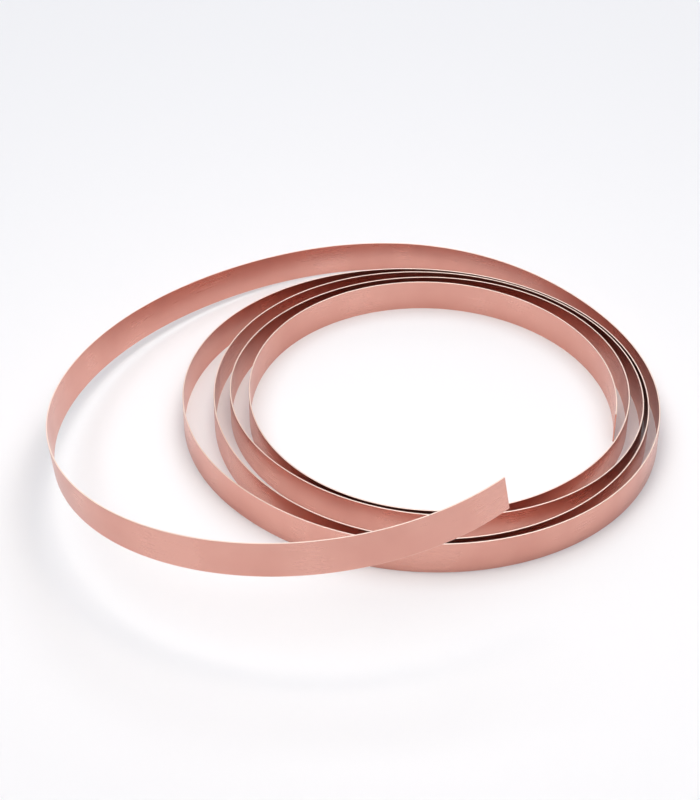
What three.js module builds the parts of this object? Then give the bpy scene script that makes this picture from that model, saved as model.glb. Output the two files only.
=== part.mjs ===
// A bare copper strip, coiled on its edge into four turns that lie on a flat surface, with a fifth,
// free turn that springs outwards, rises and ends in a square cut. It is one length of strip. The
// model divides it into stretches: one for each turn of the coil, and the stretches of the free
// turn between the places where it twists and bends.
//
// Millimetres, +Z up. The origin is on the surface, at the middle of the footprint. The path is
// worked out about the centre of the coil: the strip starts at its inner end and runs anticlockwise,
// seen from above, so its path angle goes from just under 0 to almost five whole turns. Angle 0 is
// on +X.
import * as THREE from 'three';

// ---- the strip ----
const stripWidth = 10; // slit width, which is the height of the coil
const stripThickness = 0.4; // gauge
const jointGap = 0.3; // left between stretches, so that each is a solid of its own

// ---- the coil ----
const coilRadius = 55; // mean radius of the inner turn
// Bending by hand leaves the turns a little out of round. Each list has one value for every eighth
// of a turn, from +X anticlockwise.
const innerTurnOutOfRound = [-1.5, 0.5, 4, 2, -2.5, -2.5, -1, -0.5];
// The clear distance from each turn to the turn inside it.
const airGaps = [
  [4.1, 5.1, 1.6, 3.1, 6.6, 1.1, 0.5, 5.6], // second turn
  [3.6, 0.6, 2.6, 5.1, 3.1, 8.6, 10.8, 2.6], // third turn
  [0.6, 0.6, 0.5, 5.1, 10.6, 4.6, 0.6, 3.6], // outer turn
];
const innerEndAngle = -12;

// ---- the free turn, which carries on from the outer turn ----
// The clear distance to the outer turn. The last two values lie past the cut end and only aim it.
const freeTurnGaps = [2.6, 2.4, 16.6, 13.8, 29.9, 55.3, 27.7, -14.4, -65.8];
const freeTurnRise = [0, 0, 0, 1.2, 6, 23.8, 34, 43.9, 42]; // lower edge above the surface
const freeTurnLean = [-1, -2, -0.5, 7.7, 11.6, -1.2, -7.3, -5.4, -2]; // degrees, top edge outwards
const freeTurnLength = 280; // degrees of path angle from +X to the cut end
// Where the free turn is divided, in degrees of path angle past its start. It bends flatwise at the
// first and the last, and twists at the middle one.
const freeTurnJoints = [90, 165, 215];

// ---- facets ----
const degreesPerFacet = 4;
const stationStep = 45; // degrees between the values in the lists above
const fullTurn = 360;
const stationsPerTurn = fullTurn / stationStep;

// Lists the control values of the strip's distance from the centre, one for every station from
// two stations before angle 0, so that the path is defined a little before the inner end.
function reachControls() {
  const turns = [innerTurnOutOfRound.map((offset) => coilRadius + offset)];
  for (const gaps of [...airGaps, freeTurnGaps]) {
    const inside = turns[turns.length - 1];
    const pitch = (gap, station) => inside[station % stationsPerTurn] + stripThickness + gap;
    turns.push(gaps.map(pitch));
  }
  const before = turns[0].slice(-2);
  return [...before, ...turns.flat()];
}

// Lists the control values of something that only the free turn has.
function freeTurnControls(values) {
  const stationsBefore = 2 + (1 + airGaps.length) * stationsPerTurn;
  return [...new Array(stationsBefore).fill(0), ...values];
}

// Blends evenly spaced control values into a smooth curve: a uniform cubic B-spline.
function smooth(controls, angle) {
  const position = angle / stationStep + 2;
  const station = Math.min(Math.max(Math.floor(position), 1), controls.length - 3);
  const t = position - station;
  const weights = [
    (1 - t) ** 3,
    3 * t ** 3 - 6 * t ** 2 + 4,
    -3 * t ** 3 + 3 * t ** 2 + 3 * t + 1,
    t ** 3,
  ];
  return weights.reduce((sum, weight, k) => sum + (weight * controls[station - 1 + k]) / 6, 0);
}

const reach = reachControls();
const rise = freeTurnControls(freeTurnRise);
const lean = freeTurnControls(freeTurnLean);

// The middle of the strip's width and thickness at a path angle.
function centreAt(angle) {
  const radians = THREE.MathUtils.degToRad(angle);
  const radius = smooth(reach, angle);
  const height = smooth(rise, angle) + stripWidth / 2;
  return new THREE.Vector3(radius * Math.cos(radians), radius * Math.sin(radians), height);
}

function tangentAt(angle) {
  const step = 0.05;
  return centreAt(angle + step).sub(centreAt(angle - step)).normalize();
}

// The directions across the strip: through its thickness, inwards, and along its width, upwards.
function crossAxes(angle) {
  const tangent = tangentAt(angle);
  const inwards = new THREE.Vector3(-tangent.y, tangent.x, 0).normalize();
  const upwards = new THREE.Vector3().crossVectors(tangent, inwards).normalize();
  const tilt = THREE.MathUtils.degToRad(smooth(lean, angle));
  inwards.applyAxisAngle(tangent, tilt);
  upwards.applyAxisAngle(tangent, tilt);
  return { tangent, inwards, upwards };
}

// The centre line of one stretch, from one path angle to another.
class StripPath extends THREE.Curve {
  constructor(fromAngle, toAngle) {
    super();
    this.fromAngle = fromAngle;
    this.toAngle = toAngle;
  }

  angleAt(t) {
    return this.fromAngle + (this.toAngle - this.fromAngle) * t;
  }

  getPoint(t, target = new THREE.Vector3()) {
    return target.copy(centreAt(this.angleAt(t)));
  }

  // The strip stands on its edge and leans by a chosen angle, so it sets its own cross axes.
  computeFrenetFrames(segments) {
    const frames = { tangents: [], normals: [], binormals: [] };
    for (let i = 0; i <= segments; i += 1) {
      const axes = crossAxes(this.angleAt(this.getUtoTmapping(i / segments)));
      frames.tangents.push(axes.tangent);
      frames.normals.push(axes.inwards);
      frames.binormals.push(axes.upwards);
    }
    return frames;
  }
}

function stripSection() {
  const x = stripThickness / 2;
  const y = stripWidth / 2;
  return new THREE.Shape([
    new THREE.Vector2(-x, -y),
    new THREE.Vector2(x, -y),
    new THREE.Vector2(x, y),
    new THREE.Vector2(-x, y),
  ]);
}

// The change in path angle that takes up a short distance along the strip.
function angleFor(distance, angle) {
  const perDegree = centreAt(angle + 0.5).distanceTo(centreAt(angle - 0.5));
  return distance / perDegree;
}

const copper = { color: 0xc98372, metalness: 1, roughness: 0.38 };
const group = new THREE.Group();

function addStretch(name, fromAngle, toAngle) {
  const path = new StripPath(fromAngle, toAngle);
  const steps = Math.ceil((toAngle - fromAngle) / degreesPerFacet);
  const geometry = new THREE.ExtrudeGeometry(stripSection(), {
    steps,
    extrudePath: path,
    bevelEnabled: false,
  });
  const mesh = new THREE.Mesh(geometry, new THREE.MeshStandardMaterial(copper));
  mesh.name = name;
  group.add(mesh);
}

// Each stretch ends half a gap short of the place where it meets the next one.
const freeTurnStart = (1 + airGaps.length) * fullTurn;
const stretches = [
  ['inner_turn', fullTurn],
  ['second_turn', 2 * fullTurn],
  ['third_turn', 3 * fullTurn],
  ['outer_turn', freeTurnStart],
  ['back_stretch', freeTurnStart + freeTurnJoints[0]],
  ['side_stretch', freeTurnStart + freeTurnJoints[1]],
  ['front_stretch', freeTurnStart + freeTurnJoints[2]],
  ['free_end', freeTurnStart + freeTurnLength],
];
let start = innerEndAngle;
for (const [name, end] of stretches) {
  const isFirst = start === innerEndAngle;
  const isLast = end === freeTurnStart + freeTurnLength;
  const from = isFirst ? start : start + angleFor(jointGap / 2, start);
  const to = isLast ? end : end - angleFor(jointGap / 2, end);
  addStretch(name, from, to);
  start = end;
}

const bounds = new THREE.Box3().setFromObject(group);
const middle = bounds.getCenter(new THREE.Vector3());
group.position.set(-middle.x, -middle.y, 0);

export default group;
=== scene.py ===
"""A bare copper strip, coiled on its edge on a pale table, with its last turn sprung open.

The strip is one length of slit and rolled copper. Four turns of it stand on a slit edge, and the
fifth, free turn springs outwards, rises and ends in a square cut. Its path is the one that the
model has: a few distances for every eighth of a turn, blended into a smooth curve. A geometry
node tree sweeps the strip's section along that path. The coil rides on one body of the model;
the free turn is made in three more lengths, which are not given to any body.
"""

import logging
import math
from dataclasses import dataclass, field
from enum import Enum

import bpy
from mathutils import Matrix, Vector


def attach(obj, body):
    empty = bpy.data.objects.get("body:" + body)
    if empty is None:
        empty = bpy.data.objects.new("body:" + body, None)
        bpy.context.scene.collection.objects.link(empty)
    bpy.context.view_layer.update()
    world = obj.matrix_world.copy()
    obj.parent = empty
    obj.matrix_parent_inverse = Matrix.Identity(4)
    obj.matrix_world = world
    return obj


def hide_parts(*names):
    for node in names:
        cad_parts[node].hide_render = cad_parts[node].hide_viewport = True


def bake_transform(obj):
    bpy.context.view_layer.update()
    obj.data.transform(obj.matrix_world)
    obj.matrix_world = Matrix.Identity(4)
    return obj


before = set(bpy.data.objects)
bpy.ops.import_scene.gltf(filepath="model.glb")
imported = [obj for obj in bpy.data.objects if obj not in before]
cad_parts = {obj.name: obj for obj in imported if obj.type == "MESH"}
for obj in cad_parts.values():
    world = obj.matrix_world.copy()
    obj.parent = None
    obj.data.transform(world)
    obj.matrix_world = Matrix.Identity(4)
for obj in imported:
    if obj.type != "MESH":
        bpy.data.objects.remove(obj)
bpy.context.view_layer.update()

log = logging.getLogger("copper_strip")

MM = 0.001
LEAN_ATTRIBUTE = "lean"
UV_LAYER = "UVMap"
CRISP_CORNER = math.radians(5)  # an edge of the mesh that turns by more than this stays crisp


# ---------------------------------------------------------------------------------------------
# Small helpers
# ---------------------------------------------------------------------------------------------


def linear(hex_colour: str) -> tuple[float, float, float, float]:
    """Turns an sRGB hex colour into linear values.

    Args:
        hex_colour: Six hex digits after a hash sign.

    Returns:
        Red, green, blue and an alpha of one.
    """
    channels = [int(hex_colour[i : i + 2], 16) / 255 for i in (1, 3, 5)]
    curved = [c / 12.92 if c <= 0.04045 else ((c + 0.055) / 1.055) ** 2.4 for c in channels]
    return (*curved, 1.0)


def add_node(
    tree: bpy.types.NodeTree, kind: str, inputs: dict | None = None, **settings: object
) -> bpy.types.Node:
    """Adds a node to a tree, with its settings, and sets or links its inputs.

    Args:
        tree: The tree that the node goes into.
        kind: The node's type name.
        inputs: A value or another node's output for each input, by its name or number.
        **settings: The node's own properties.

    Returns:
        The new node.
    """
    node = tree.nodes.new(kind)
    for name, value in settings.items():
        setattr(node, name, value)
    for socket, value in (inputs or {}).items():
        if isinstance(value, bpy.types.NodeSocket):
            tree.links.new(value, node.inputs[socket])
        else:
            node.inputs[socket].default_value = value
    return node


# ---------------------------------------------------------------------------------------------
# The path of the strip
# ---------------------------------------------------------------------------------------------


@dataclass(frozen=True)
class StripStock:
    """The flat strip as it is bought, in millimetres."""

    width: float = 10.0
    thickness: float = 0.4
    corner_radius: float = 0.08
    corner_facets: int = 4


@dataclass(frozen=True)
class CoilPath:
    """Where the middle of the strip runs, about the centre of the coil.

    A path angle is in degrees and grows along the strip, from just under 0 at the inner end to
    almost five whole turns at the cut end. Distances are in millimetres.
    """

    stock: StripStock
    coil_radius: float = 55.0
    inner_turn_out_of_round: tuple = (-1.5, 0.5, 4, 2, -2.5, -2.5, -1, -0.5)
    air_gaps: tuple = (
        (4.1, 5.1, 1.6, 3.1, 6.6, 1.1, 0.5, 5.6),
        (3.6, 0.6, 2.6, 5.1, 3.1, 8.6, 10.8, 2.6),
        (0.6, 0.6, 0.5, 5.1, 10.6, 4.6, 0.6, 3.6),
    )
    free_turn_gaps: tuple = (2.6, 2.4, 16.6, 13.8, 29.9, 55.3, 27.7, -14.4, -65.8)
    free_turn_rise: tuple = (0, 0, 0, 1.2, 6, 23.8, 34, 43.9, 42)
    free_turn_lean: tuple = (-1, -2, -0.5, 7.7, 11.6, -1.2, -7.3, -5.4, -2)
    inner_end: float = -12.0
    free_turn_start: float = 1440.0
    cut_end: float = 1720.0
    station_step: float = 45.0
    reach: tuple = field(init=False)
    rise: tuple = field(init=False)
    lean: tuple = field(init=False)

    def __post_init__(self) -> None:
        """Works out the control values for the whole path from the gaps between its turns."""
        per_turn = len(self.inner_turn_out_of_round)
        turns = [[self.coil_radius + offset for offset in self.inner_turn_out_of_round]]
        for gaps in (*self.air_gaps, self.free_turn_gaps):
            inside = turns[-1]
            pitches = [self.stock.thickness + gap for gap in gaps]
            turns.append([inside[i % per_turn] + pitch for i, pitch in enumerate(pitches)])
        reach = turns[0][-2:] + [value for turn in turns for value in turn]
        coiled = [0.0] * (len(reach) - len(self.free_turn_gaps))
        object.__setattr__(self, "reach", tuple(reach))
        object.__setattr__(self, "rise", (*coiled, *self.free_turn_rise))
        object.__setattr__(self, "lean", (*coiled, *self.free_turn_lean))

    def smooth(self, controls: tuple, angle: float) -> float:
        """Blends evenly spaced control values into a smooth curve, a uniform cubic B-spline.

        Args:
            controls: The control values, the first of them two stations before angle 0.
            angle: The path angle.

        Returns:
            The blended value at that angle.
        """
        position = angle / self.station_step + 2
        station = min(max(math.floor(position), 1), len(controls) - 3)
        t = position - station
        weights = (
            (1 - t) ** 3,
            3 * t**3 - 6 * t**2 + 4,
            -3 * t**3 + 3 * t**2 + 3 * t + 1,
            t**3,
        )
        return sum(w * controls[station - 1 + k] for k, w in enumerate(weights)) / 6

    def point(self, angle: float) -> Vector:
        """Gives the middle of the strip's width and thickness, in metres from the coil's centre."""
        radius = self.smooth(self.reach, angle)
        height = self.smooth(self.rise, angle) + self.stock.width / 2
        turn = math.radians(angle)
        return Vector((radius * math.cos(turn), radius * math.sin(turn), height)) * MM

    def lean_at(self, angle: float) -> float:
        """Gives how far the strip's top edge leans outwards, in radians."""
        return math.radians(self.smooth(self.lean, angle))

    def footprint_middle(self) -> Vector:
        """Gives the middle of the strip's box seen from above, in metres from the centre."""
        leftmost = Vector((math.inf, math.inf))
        rightmost = -leftmost
        for angle in range(round(self.inner_end), round(self.cut_end) + 1):
            lean = math.sin(self.lean_at(angle)) * self.stock.width / 2
            reach = self.stock.thickness / 2 + abs(lean)
            here = self.point(angle).xy
            outwards = here.normalized() * reach * MM
            for edge in (here + outwards, here - outwards):
                leftmost = Vector(map(min, leftmost, edge))
                rightmost = Vector(map(max, rightmost, edge))
        return (leftmost + rightmost) / 2


# ---------------------------------------------------------------------------------------------
# The finish
# ---------------------------------------------------------------------------------------------


@dataclass(frozen=True)
class RolledCopper:
    """Bare copper, cold rolled to a satin face and slit to width.

    The rolls leave fine lines along the strip, which soften a reflection across the width more
    than along it. Handling and air leave wide, faint patches that are a little darker and duller.
    Both slit edges are painted a pale, near white copper, a painted highlight, and get their own
    roughness.
    """

    name: str = "rolled_copper_satin"
    clean_hex: str = "#E2AA9C"
    aired_hex: str = "#DA9F91"
    # painted highlight: a near white copper for the slit edges, standing in for the light they
    # catch
    edge_highlight_hex: str = "#FFE6D8"
    roughness_low: float = 0.25
    roughness_high: float = 0.35
    edge_roughness: float = 0.28
    line_spacing: float = 0.35  # mm, coarser than real rolling lines, so that they show
    line_length: float = 60.0  # mm
    patch_size: float = 28.0  # mm
    aired_range: tuple = (0.35, 0.7)  # the noise where a patch starts and where it is full
    dullness_range: tuple = (0.3, 1.7)  # lines and patches together, from clean to dull
    relief_strength: float = 0.06
    relief_depth: float = 0.02  # mm
    edge_highlight_band: float = 0.12  # mm of the face beside a slit edge that takes the painted highlight

    def build(self, stock: StripStock) -> bpy.types.Material:
        """Builds the finish on the strip's own coordinates: along it and across it, in metres.

        Args:
            stock: The strip, whose width places the slit edges.

        Returns:
            The material.
        """
        material = bpy.data.materials.new(self.name)
        material.use_nodes = True
        tree = material.node_tree
        tree.nodes.clear()
        place = add_node(tree, "ShaderNodeUVMap", uv_map=UV_LAYER).outputs[0]

        # Rolling lines: noise drawn out along the strip.
        stretched = add_node(
            tree,
            "ShaderNodeMapping",
            {
                "Vector": place,
                "Scale": (1 / (self.line_length * MM), 1 / (self.line_spacing * MM), 1),
            },
        )
        lines = add_node(
            tree,
            "ShaderNodeTexNoise",
            {"Vector": stretched.outputs[0], "Scale": 1.0, "Detail": 2.0, "Roughness": 0.6},
            noise_dimensions="2D",
        ).outputs[0]
        # Patches where the bare metal has aired: wide, soft noise.
        patches = add_node(
            tree,
            "ShaderNodeTexNoise",
            {"Vector": place, "Scale": 1 / (self.patch_size * MM), "Detail": 3.0},
            noise_dimensions="2D",
        ).outputs[0]
        bare, full = self.aired_range
        aired = add_node(
            tree,
            "ShaderNodeMapRange",
            {"Value": patches, "From Min": bare, "From Max": full},
        ).outputs[0]
        face = add_node(
            tree,
            "ShaderNodeMix",
            {0: aired, 6: linear(self.clean_hex), 7: linear(self.aired_hex)},
            data_type="RGBA",
        ).outputs[2]

        # The slit edges, by the distance from the middle of the width; they get the painted
        # highlight colour and their own roughness.
        across = add_node(tree, "ShaderNodeSeparateXYZ", {0: place}).outputs[1]
        folded = add_node(
            tree,
            "ShaderNodeMath",
            {0: across, 1: stock.width * MM},
            operation="PINGPONG",
        ).outputs[0]
        edge_start = (stock.width / 2 - self.edge_highlight_band) * MM
        edge = add_node(
            tree,
            "ShaderNodeMapRange",
            {"Value": folded, "From Min": edge_start, "From Max": stock.width / 2 * MM},
        ).outputs[0]
        # painted highlight: the near white edge colour mixed over the face along both slit edges
        colour = add_node(
            tree,
            "ShaderNodeMix",
            {0: edge, 6: face, 7: linear(self.edge_highlight_hex)},
            data_type="RGBA",
        ).outputs[2]
        dullness = add_node(
            tree,
            "ShaderNodeMath",
            {0: lines, 1: aired},
            operation="ADD",
        ).outputs[0]
        clean, dull = self.dullness_range
        face_roughness = add_node(
            tree,
            "ShaderNodeMapRange",
            {
                "Value": dullness,
                "From Min": clean,
                "From Max": dull,
                "To Min": self.roughness_low,
                "To Max": self.roughness_high,
            },
        ).outputs[0]
        roughness = add_node(
            tree,
            "ShaderNodeMix",
            {0: edge, 2: face_roughness, 3: self.edge_roughness},
        ).outputs[0]
        relief = add_node(
            tree,
            "ShaderNodeBump",
            {
                "Height": lines,
                "Strength": self.relief_strength,
                "Distance": self.relief_depth * MM,
            },
        ).outputs[0]
        shader = add_node(
            tree,
            "ShaderNodeBsdfPrincipled",
            {
                "Base Color": colour,
                "Metallic": 1.0,
                "Roughness": roughness,
                "Normal": relief,
            },
        )
        add_node(tree, "ShaderNodeOutputMaterial", {"Surface": shader.outputs[0]})
        return material


@dataclass(frozen=True)
class MattWhiteTable:
    """A plain white laminate table top with a matt face, which gives no clear reflection."""

    name: str = "matt_white_laminate"
    hex_colour: str = "#F6F6F7"
    roughness: float = 0.85

    def build(self) -> bpy.types.Material:
        """Builds the plain finish."""
        material = bpy.data.materials.new(self.name)
        material.use_nodes = True
        shader = material.node_tree.nodes["Principled BSDF"]
        shader.inputs["Base Color"].default_value = linear(self.hex_colour)
        shader.inputs["Roughness"].default_value = self.roughness
        return material


# ---------------------------------------------------------------------------------------------
# The strip
# ---------------------------------------------------------------------------------------------


class Carry(Enum):
    """How a length of the strip follows the model's bodies."""

    RIDE = "rides on one body"
    BEND = "bends between two bodies"


@dataclass(frozen=True)
class StripLength:
    """One length of the strip, between two path angles."""

    name: str
    start: float
    end: float
    step: float
    bodies: tuple
    nodes: tuple
    bend_end: float | None = None

    @property
    def carry(self) -> Carry:
        """Tells whether the length has one body or two."""
        return Carry.RIDE if len(self.bodies) == 1 else Carry.BEND


class SweepTree:
    """The geometry node tree that sweeps the strip's section along a line of points."""

    def __init__(self) -> None:
        """Builds the tree and keeps the identifiers of its inputs."""
        self.tree = bpy.data.node_groups.new("sweep_strip_on_edge", "GeometryNodeTree")
        self.identifiers: dict[str, str] = {}
        self._declare_sockets()
        self._build()

    def _declare_sockets(self) -> None:
        """Names the tree's inputs and its one output."""
        sockets = (
            ("Path", "NodeSocketGeometry"),
            ("Strip Width", "NodeSocketFloat"),
            ("Strip Thickness", "NodeSocketFloat"),
            ("Corner Radius", "NodeSocketFloat"),
            ("Corner Facets", "NodeSocketInt"),
            ("Length Before", "NodeSocketFloat"),
            ("Finish", "NodeSocketMaterial"),
        )
        for name, kind in sockets:
            item = self.tree.interface.new_socket(name, in_out="INPUT", socket_type=kind)
            self.identifiers[name] = item.identifier
        self.tree.interface.new_socket(
            "Strip", in_out="OUTPUT", socket_type="NodeSocketGeometry"
        )

    def _path(self, given: bpy.types.Node) -> tuple[bpy.types.Node, bpy.types.NodeSocket]:
        """Turns the points into a curve that stands upright and leans, and measures it.

        Args:
            given: The tree's input node.

        Returns:
            The node that holds the curve, and the length along the strip at each point.
        """
        tree = self.tree
        line = add_node(tree, "GeometryNodeMeshToCurve", {"Mesh": given.outputs["Path"]})
        upright = add_node(
            tree, "GeometryNodeSetCurveNormal", {"Curve": line.outputs[0]}, mode="Z_UP"
        )
        lean = add_node(
            tree, "GeometryNodeInputNamedAttribute", {"Name": LEAN_ATTRIBUTE}, data_type="FLOAT"
        )
        leaning = add_node(
            tree,
            "GeometryNodeSetCurveTilt",
            {"Curve": upright.outputs[0], "Tilt": lean.outputs[0]},
        )
        parameter = add_node(tree, "GeometryNodeSplineParameter")
        along = add_node(
            tree,
            "ShaderNodeMath",
            {0: parameter.outputs["Length"], 1: given.outputs["Length Before"]},
            operation="ADD",
        )
        measured = tree.nodes.new("GeometryNodeCaptureAttribute")
        measured.capture_items.new("FLOAT", "Along")
        tree.links.new(leaning.outputs[0], measured.inputs[0])
        tree.links.new(along.outputs[0], measured.inputs[1])
        return measured, measured.outputs[1]

    def _section(self, given: bpy.types.Node) -> tuple[bpy.types.Node, bpy.types.NodeSocket]:
        """Draws the slit section, a long rectangle with slightly rounded corners.

        Args:
            given: The tree's input node.

        Returns:
            The node that holds the section, and the place of each point in it.
        """
        tree = self.tree
        rectangle = add_node(
            tree,
            "GeometryNodeCurvePrimitiveQuadrilateral",
            {"Width": given.outputs["Strip Thickness"], "Height": given.outputs["Strip Width"]},
            mode="RECTANGLE",
        )
        rounded = add_node(
            tree,
            "GeometryNodeFilletCurve",
            {
                "Curve": rectangle.outputs[0],
                "Count": given.outputs["Corner Facets"],
                "Radius": given.outputs["Corner Radius"],
            },
            mode="POLY",
        )
        placed = tree.nodes.new("GeometryNodeCaptureAttribute")
        placed.capture_items.new("VECTOR", "Place")
        tree.links.new(rounded.outputs[0], placed.inputs[0])
        position = add_node(tree, "GeometryNodeInputPosition")
        tree.links.new(position.outputs[0], placed.inputs[1])
        return placed, placed.outputs[1]

    def _build(self) -> None:
        """Sweeps the section along the path, keeps its corners crisp and adds its coordinates."""
        tree = self.tree
        given = add_node(tree, "NodeGroupInput")
        path, along = self._path(given)
        section, place = self._section(given)
        swept = add_node(
            tree,
            "GeometryNodeCurveToMesh",
            {"Curve": path.outputs[0], "Profile Curve": section.outputs[0], "Fill Caps": True},
        )
        bend = add_node(tree, "GeometryNodeInputMeshEdgeAngle")
        is_corner = add_node(
            tree,
            "FunctionNodeCompare",
            {0: bend.outputs[0], 1: CRISP_CORNER},
            data_type="FLOAT",
            operation="GREATER_THAN",
        )
        crisp = add_node(
            tree,
            "GeometryNodeSetShadeSmooth",
            {0: swept.outputs[0], 1: is_corner.outputs[0], 2: False},
            domain="EDGE",
        )
        parts = add_node(tree, "ShaderNodeSeparateXYZ", {0: place})
        coordinates = add_node(
            tree, "ShaderNodeCombineXYZ", {0: along, 1: parts.outputs[1]}
        )
        mapped = add_node(
            tree,
            "GeometryNodeStoreNamedAttribute",
            {"Geometry": crisp.outputs[0], "Name": UV_LAYER, "Value": coordinates.outputs[0]},
            data_type="FLOAT2",
            domain="CORNER",
        )
        real = add_node(tree, "GeometryNodeRealizeInstances", {0: mapped.outputs[0]})
        dressed = add_node(
            tree,
            "GeometryNodeSetMaterial",
            {"Geometry": real.outputs[0], "Material": given.outputs["Finish"]},
        )
        add_node(tree, "NodeGroupOutput", {0: dressed.outputs[0]})

    def sweep(self, name: str, points: list, leans: list, sizes: dict) -> bpy.types.Object:
        """Sweeps the strip along a line of points and leaves a plain mesh.

        Args:
            name: The piece's name.
            points: The middle of the strip, in metres.
            leans: The lean at each point, in radians.
            sizes: A value for each of the tree's inputs, by name.

        Returns:
            The piece, with no modifier left on it.
        """
        line = bpy.data.meshes.new(name + "_path")
        line.from_pydata(points, [(i, i + 1) for i in range(len(points) - 1)], [])
        line.attributes.new(LEAN_ATTRIBUTE, "FLOAT", "POINT").data.foreach_set("value", leans)
        piece = bpy.data.objects.new(name, line)
        bpy.context.scene.collection.objects.link(piece)
        modifier = piece.modifiers.new("sweep", "NODES")
        modifier.node_group = self.tree
        for label, value in sizes.items():
            modifier[self.identifiers[label]] = value
        evaluated = piece.evaluated_get(bpy.context.evaluated_depsgraph_get())
        mesh = bpy.data.meshes.new_from_object(evaluated)
        piece.modifiers.clear()
        piece.data = mesh
        mesh.name = name
        bpy.data.meshes.remove(line)
        return piece


@dataclass
class CopperStrip:
    """The whole strip, in the lengths that its springing needs."""

    stock: StripStock
    path: CoilPath
    finish: RolledCopper
    coil_step: float = 1.0  # degrees of path angle between sections
    free_step: float = 0.5
    bend_starts: tuple = (60.0, 130.0, 190.0)  # degrees past the start of the free turn
    last_bend_end: float = 250.0  # the same, for where the last length's bend would end
    bend_margin: float = 1.0  # degrees in from each bend's two ends, for two points that are not used
    slot: str = "copper_strip"

    def lengths(self) -> tuple[StripLength, ...]:
        """Lists the lengths of the strip, from its inner end to its cut end."""
        start = self.path.free_turn_start
        coil_nodes = ("inner_turn", "second_turn", "third_turn", "outer_turn", "back_stretch")
        places = [start + past for past in self.bend_starts]
        bends = (
            ("strip_back_bend", "coil", "side_stretch"),
            ("strip_side_twist", "side_stretch", "front_stretch"),
            ("strip_front_bend", "front_stretch", "free_end"),
        )
        ends = [*places[1:], self.path.cut_end]
        bend_ends = [*places[1:], start + self.last_bend_end]
        coil = StripLength(
            "strip_coil", self.path.inner_end, places[0], self.coil_step, ("coil",), coil_nodes
        )
        free = [
            StripLength(name, places[i], ends[i], self.free_step, (a, b), (b,), bend_ends[i])
            for i, (name, a, b) in enumerate(bends)
        ]
        return (coil, *free)

    def build(self, shift: Vector) -> list[bpy.types.Object]:
        """Builds every length, and gives the coil to the body that carries it.

        Args:
            shift: From the centre of the coil to the model's origin, in metres.

        Returns:
            The finished pieces.
        """
        tree = SweepTree()
        material = self.finish.build(self.stock)
        made = []
        length_before = 0.0
        for part in self.lengths():
            count = round((part.end - part.start) / part.step)
            angles = [part.start + (part.end - part.start) * i / count for i in range(count + 1)]
            points = [self.path.point(angle) - shift for angle in angles]
            sizes = {
                "Strip Width": self.stock.width * MM,
                "Strip Thickness": self.stock.thickness * MM,
                "Corner Radius": self.stock.corner_radius * MM,
                "Corner Facets": self.stock.corner_facets,
                "Length Before": length_before,
                "Finish": material,
            }
            leans = [self.path.lean_at(angle) for angle in angles]
            piece = tree.sweep(part.name, points, leans, sizes)
            length_before += sum((b - a).length for a, b in zip(points, points[1:]))
            self._carry(piece, part, shift)
            log.info("%s %s, %d faces", piece.name, part.carry.value, len(piece.data.polygons))
            made.append(piece)
        log.info("the strip is %.3f m long", length_before)
        return made

    def _carry(self, piece: bpy.types.Object, part: StripLength, shift: Vector) -> None:
        """Gives a riding length to its one body, leaves a length between two bodies unattached with
        its transform baked in, and hides the stretches it stands for.

        Args:
            piece: The finished piece.
            part: The length that it is.
            shift: From the centre of the coil to the model's origin, in metres.
        """
        if part.carry is Carry.RIDE:
            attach(piece, part.bodies[0])
        else:
            start = self.path.point(part.start + self.bend_margin) - shift
            end = self.path.point(part.bend_end - self.bend_margin) - shift
            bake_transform(piece)
        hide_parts(*part.nodes)


# ---------------------------------------------------------------------------------------------
# The studio
# ---------------------------------------------------------------------------------------------


@dataclass(frozen=True)
class Softlight:
    """One soft white light of the studio, a rectangle that faces a point."""

    name: str
    place: tuple  # m
    aim: tuple  # m
    size: tuple  # m, the two sides
    power: float  # W
    hex_colour: str

    def build(self) -> None:
        """Hangs the light and turns it to its aim."""
        light = bpy.data.lights.new(self.name, "AREA")
        light.shape = "RECTANGLE"
        light.size, light.size_y = self.size
        light.energy = self.power
        light.color = linear(self.hex_colour)[:3]
        hung = bpy.data.objects.new(self.name, light)
        hung.location = self.place
        towards = Vector(self.aim) - Vector(self.place)
        hung.rotation_euler = towards.to_track_quat("-Z", "Y").to_euler()
        bpy.context.scene.collection.objects.link(hung)


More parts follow.
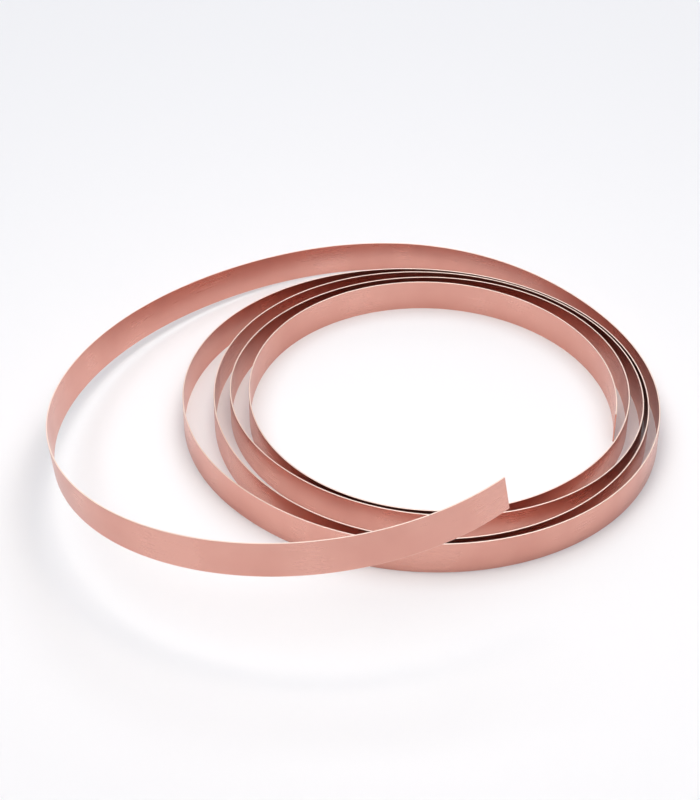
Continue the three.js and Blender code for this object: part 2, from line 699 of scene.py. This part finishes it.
@dataclass(frozen=True)
class Studio:
    """A white table under a near lamp, a far lamp behind, and large soft panels."""

    table_reach: float = 6.0  # m
    room_hex: str = "#EDF0FF"
    room_strength: float = 0.09
    lights: tuple = (
        Softlight(
            name="near_lamp",
            place=(-0.001, -0.041, 0.284),
            aim=(-0.001, -0.041, 0),
            size=(0.12, 0.05),
            power=0.17,
            hex_colour="#FFF0E0",
        ),
        Softlight(
            name="rear_lamp",
            place=(0.24, 0.92, 1.2),
            aim=(0, 0, 0),
            size=(0.3, 0.3),
            power=0.7,
            hex_colour="#FFFFFF",
        ),
        Softlight(
            name="ceiling_panel",
            place=(0, 0, 1.5),
            aim=(0, 0, 0),
            size=(2.4, 2.4),
            power=31.5,
            hex_colour="#FBFCFF",
        ),
        Softlight(
            name="rear_wall_panel",
            place=(0, 3, 1.2),
            aim=(0, 0, 0.6),
            size=(4, 2.4),
            power=31.0,
            hex_colour="#FFFFFF",
        ),
    )
    camera_target: tuple = (-0.0031, 0.0189, 0.0)
    camera_elevation: float = 36.97  # degrees
    camera_distance: float = 0.545  # m
    camera_lens: float = 81.8  # mm

    def build(self) -> None:
        """Builds the table, the light and the camera."""
        self._build_table()
        self._build_room()
        for light in self.lights:
            light.build()
        self._build_camera()

    def _build_table(self) -> None:
        """Makes the table top, just under what stands on it."""
        reach = self.table_reach
        corners = [(-reach, -reach, 0), (reach, -reach, 0), (reach, reach, 0), (-reach, reach, 0)]
        mesh = bpy.data.meshes.new("table_top")
        mesh.from_pydata(corners, [], [(0, 1, 2, 3)])
        mesh.materials.append(MattWhiteTable().build())
        table = bpy.data.objects.new("table_top", mesh)
        bpy.context.scene.collection.objects.link(table)

    def _build_room(self) -> None:
        """Fills the room with very weak, even light."""
        world = bpy.data.worlds.new("white_room")
        world.use_nodes = True
        background = world.node_tree.nodes["Background"]
        background.inputs["Color"].default_value = linear(self.room_hex)
        background.inputs["Strength"].default_value = self.room_strength
        bpy.context.scene.world = world
        bpy.context.scene.view_settings.view_transform = "Standard"

    def _build_camera(self) -> None:
        """Places the camera in front of the coil, looking down at it."""
        elevation = math.radians(self.camera_elevation)
        back = Vector((0, -math.cos(elevation), math.sin(elevation)))
        camera = bpy.data.cameras.new("camera")
        camera.lens = self.camera_lens
        placed = bpy.data.objects.new("camera", camera)
        placed.location = Vector(self.camera_target) + back * self.camera_distance
        placed.rotation_euler = (-back).to_track_quat("-Z", "Y").to_euler()
        bpy.context.scene.collection.objects.link(placed)
        bpy.context.scene.camera = placed


def main() -> None:
    """Builds the strip and the studio."""
    logging.basicConfig(level=logging.INFO, format="%(name)s: %(message)s")
    stock = StripStock()
    path = CoilPath(stock)
    middle = path.footprint_middle()
    strip = CopperStrip(stock, path, RolledCopper())
    strip.build(Vector((middle.x, middle.y, 0)))
    Studio().build()


if __name__ == "__main__":
    main()
